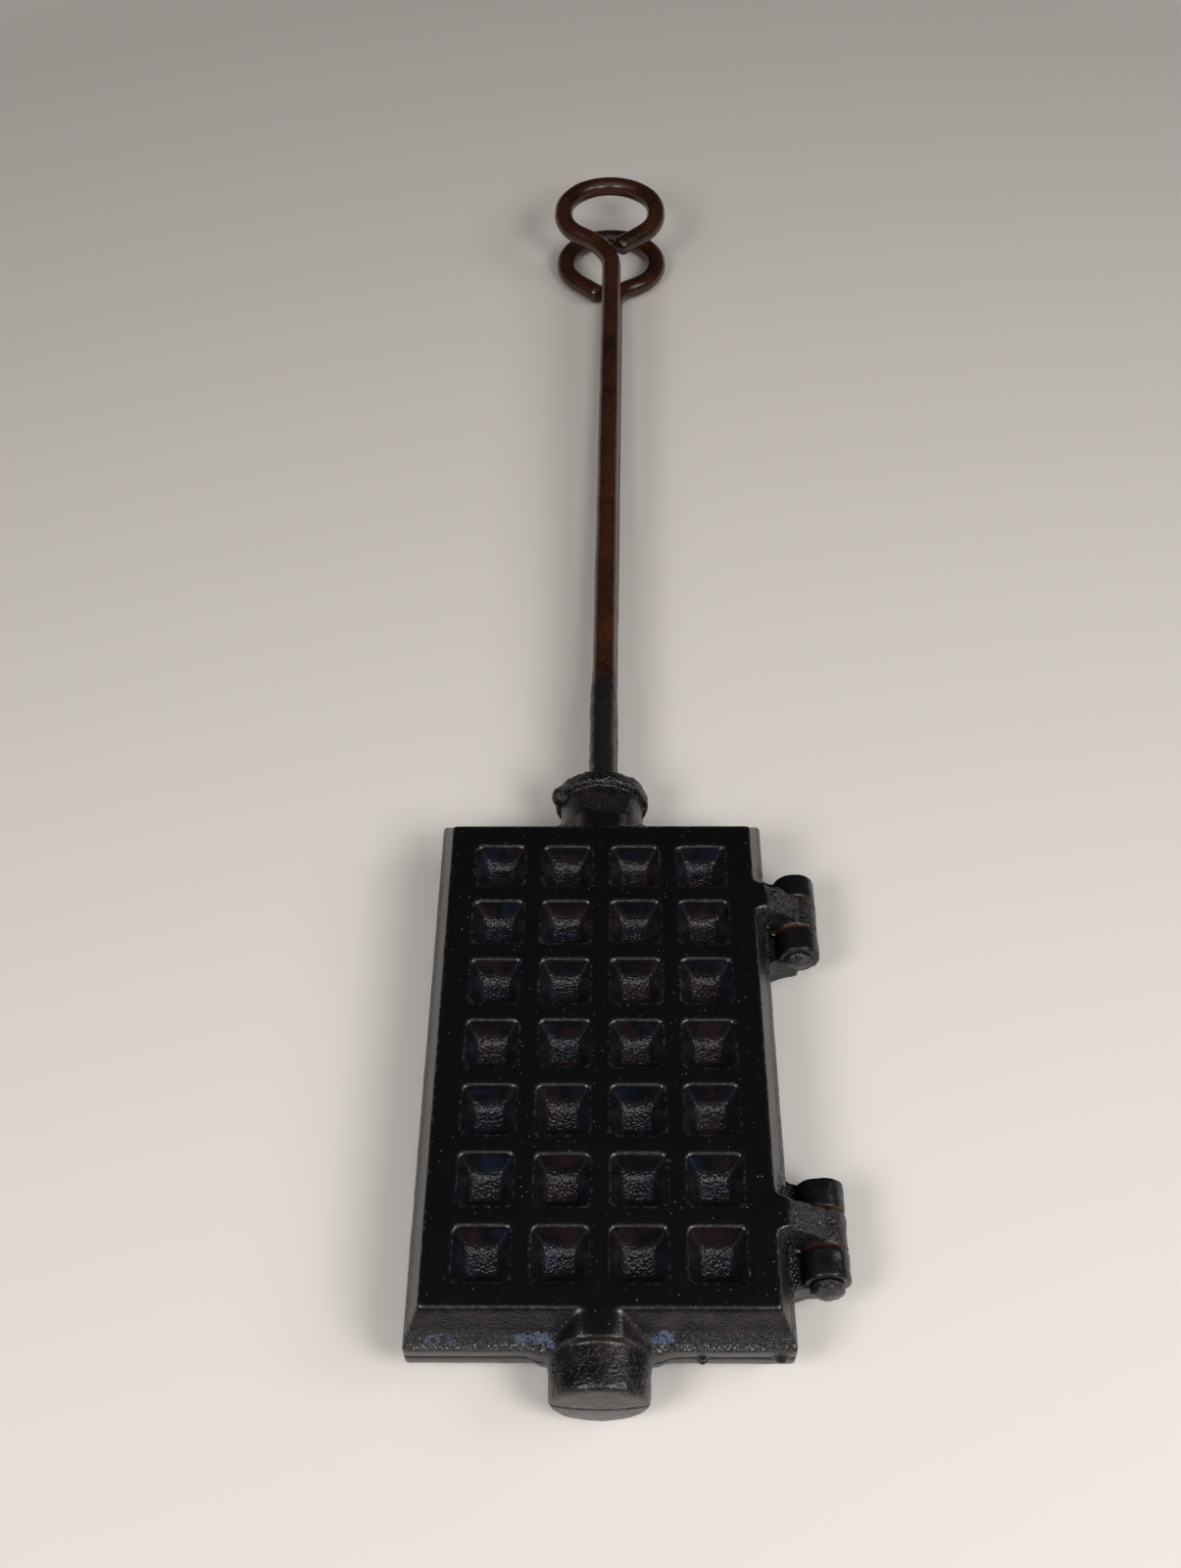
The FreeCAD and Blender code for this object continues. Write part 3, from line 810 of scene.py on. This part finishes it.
def peened_pin_iron():
    """Soft iron rivet, its heads hammered over and left bare."""
    # Dark grey metal with small hammer marks that glint, dulled by brown rust in places
    material, tree, place = new_finish("peened_pin_iron")
    tree.nodes["Principled BSDF"].inputs["Metallic"].default_value = 0.35
    dents = add(tree, "ShaderNodeTexNoise", {"Vector": place, "Scale": 1 / (1.2 * MM), "Detail": 3.0})
    patches = add(tree, "ShaderNodeTexNoise", {"Vector": place, "Scale": 1 / (4.0 * MM), "Detail": 2.0})
    names = {"bumps": dents.outputs["Fac"], "patches": patches.outputs["Fac"]}
    formulas(tree, """
rust = share((patches - 0.54) * 6)
roughness = 0.16 + 0.12 * bumps + 0.2 * rust
""", names)
    surfaced(tree, names, "#36353a", (("#3a2d26", "rust"),), 0.7 * MM)
    return material


# Camera: its place in millimetres, and how far it looks down, turns and rolls in degrees
CAMERA_PLACE = (3.6, -256.8, 494.9)
CAMERA_ANGLES = (51.45, -1.2, -1.01)
camera = placed("camera", bpy.data.cameras.new("camera"))
down, yaw, roll = (math.radians(angle) for angle in CAMERA_ANGLES)
forward = Vector((math.sin(yaw) * math.cos(down), math.cos(yaw) * math.cos(down), -math.sin(down)))
right = Vector((math.cos(yaw), -math.sin(yaw), 0))
up = right.cross(forward)
camera_right = right * math.cos(roll) + up * math.sin(roll)
camera_up = up * math.cos(roll) - right * math.sin(roll)
turned = Matrix((camera_right, camera_up, -forward)).transposed().to_4x4()
camera.matrix_world = Matrix.Translation(Vector(CAMERA_PLACE) * MM) @ turned
camera.data.lens = 36.0
camera.data.sensor_fit = "VERTICAL"
camera.data.sensor_height = 36.0
camera.data.clip_start = 0.05
bpy.context.scene.camera = camera

# Castings
castings = casting_tree(seasoned_cast_iron())
for name, body, sizes in (("upper", "upper_half", CASTING), ("lower", "lower_half", LOWER_CASTING)):
    piece = made_by_tree(name + "_casting_skin", castings, sizes)
    piece = thinned(name + "_casting", piece, MOST_TRIANGLES)
    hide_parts(name + "_plate")
    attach(piece, body)

# Handles
rods = rod_tree(forged_rod_iron())
for node, sizes in HANDLES.items():
    curve = rod_curve(node + "_line", handle_line(sizes))
    piece = made_by_tree(node.replace("handle", "rod"), rods, {"seed": sizes["seed"]}, curve)
    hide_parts(node)
    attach(piece, "lower_half" if sizes["lower"] else "upper_half")

# Hinge pins
pins = pin_tree(peened_pin_iron())
for name, sizes in (("near", {}), ("far", FAR_PIN)):
    piece = made_by_tree(name + "_rivet", pins, sizes)
    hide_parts(name + "_hinge_pin")
    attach(piece, "lower_half")

# Pale table top, which the camera sees fade into the backdrop beyond the handles
FLOOR_REACH = 6.0
FADE_START = 0.82
FADE_END = 1.3
BACKDROP = linear("#d8d2cc")
corners = [(-FLOOR_REACH, -FLOOR_REACH, 0), (FLOOR_REACH, -FLOOR_REACH, 0),
           (FLOOR_REACH, FLOOR_REACH, 0), (-FLOOR_REACH, FLOOR_REACH, 0)]
floor = placed("floor", bpy.data.meshes.new("floor"))
floor.data.from_pydata(corners, [], [(0, 1, 2, 3)])
table_top, floor_tree, floor_place = new_finish("pale_table_top")
floor_shader = floor_tree.nodes["Principled BSDF"]
floor_shader.inputs["Base Color"].default_value = linear("#efe9e4")
floor_shader.inputs["Roughness"].default_value = 0.6
from_object = add(floor_tree, "ShaderNodeVectorMath", {0: floor_place}, operation="LENGTH").outputs["Value"]
away = add(floor_tree, "ShaderNodeMapRange", {
    "Value": from_object, "From Min": FADE_START, "From Max": FADE_END, "To Min": 0.0, "To Max": 1.0},
    interpolation_type="SMOOTHSTEP")
viewed = add(floor_tree, "ShaderNodeLightPath").outputs["Is Camera Ray"]
faded = add(floor_tree, "ShaderNodeMath", {0: away, 1: viewed}, operation="MULTIPLY")
backdrop = add(floor_tree, "ShaderNodeEmission", {"Color": BACKDROP})
blended = add(floor_tree, "ShaderNodeMixShader", {0: faded, 1: floor_shader.outputs[0], 2: backdrop})
floor_tree.links.new(blended.outputs[0], floor_tree.nodes["Material Output"].inputs["Surface"])
floor.data.materials.append(table_top)

# Surroundings: dark, but pale high up in front. The pairs say where along an axis of the direction
# they are still dark and where they are fully pale.
DARK_TO_PALE = {"Y": (0.22, -0.4), "Z": (0.35, 0.7)}
world = bpy.data.worlds.new("studio")
bpy.context.scene.world = world
world.use_nodes = True
world_tree = world.node_tree
direction = add(world_tree, "ShaderNodeTexCoord").outputs["Generated"]
directions = add(world_tree, "ShaderNodeSeparateXYZ", {0: direction}).outputs
shares = [add(world_tree, "ShaderNodeMapRange", {
    "Value": directions[axis], "From Min": dark_at, "From Max": pale_at, "To Min": 0.0, "To Max": 1.0},
    interpolation_type="SMOOTHSTEP") for axis, (dark_at, pale_at) in DARK_TO_PALE.items()]
pale = add(world_tree, "ShaderNodeMath", dict(enumerate(shares)), operation="MULTIPLY").outputs[0]
seen = add(world_tree, "ShaderNodeLightPath").outputs["Is Camera Ray"]
sky = linear("#262628")
for tint, share in ((linear("#dcd6d2"), pale), (BACKDROP, seen)):
    sky = add(world_tree, "ShaderNodeMix", {0: share, 6: sky, 7: tint}, data_type="RGBA").outputs[2]
world_tree.links.new(sky, world_tree.nodes["Background"].inputs["Color"])

# Round lamps over both sides of the plates: place and size in metres, and power in watts
LAMPS = {
    "left_lamp": ((-0.42, -0.38, 0.66), 0.34, 2.6),
    "right_lamp": ((0.42, -0.38, 0.66), 0.34, 3.0),
    "side_lamp": ((0.9, 0.0, 0.8), 0.5, 2.1),
}
LAMP_TARGET = Vector((0, 0.05, 0))
for name, (place, size, power) in LAMPS.items():
    lamp = placed(name, bpy.data.lights.new(name, "AREA"))
    lamp.data.shape = "DISK"
    lamp.data.size = size
    lamp.data.energy = power
    lamp.location = place
    lamp.rotation_euler = (LAMP_TARGET - lamp.location).to_track_quat("-Z", "Y").to_euler()
    lamp.visible_camera = False
bpy.context.scene.view_settings.view_transform = "Standard"
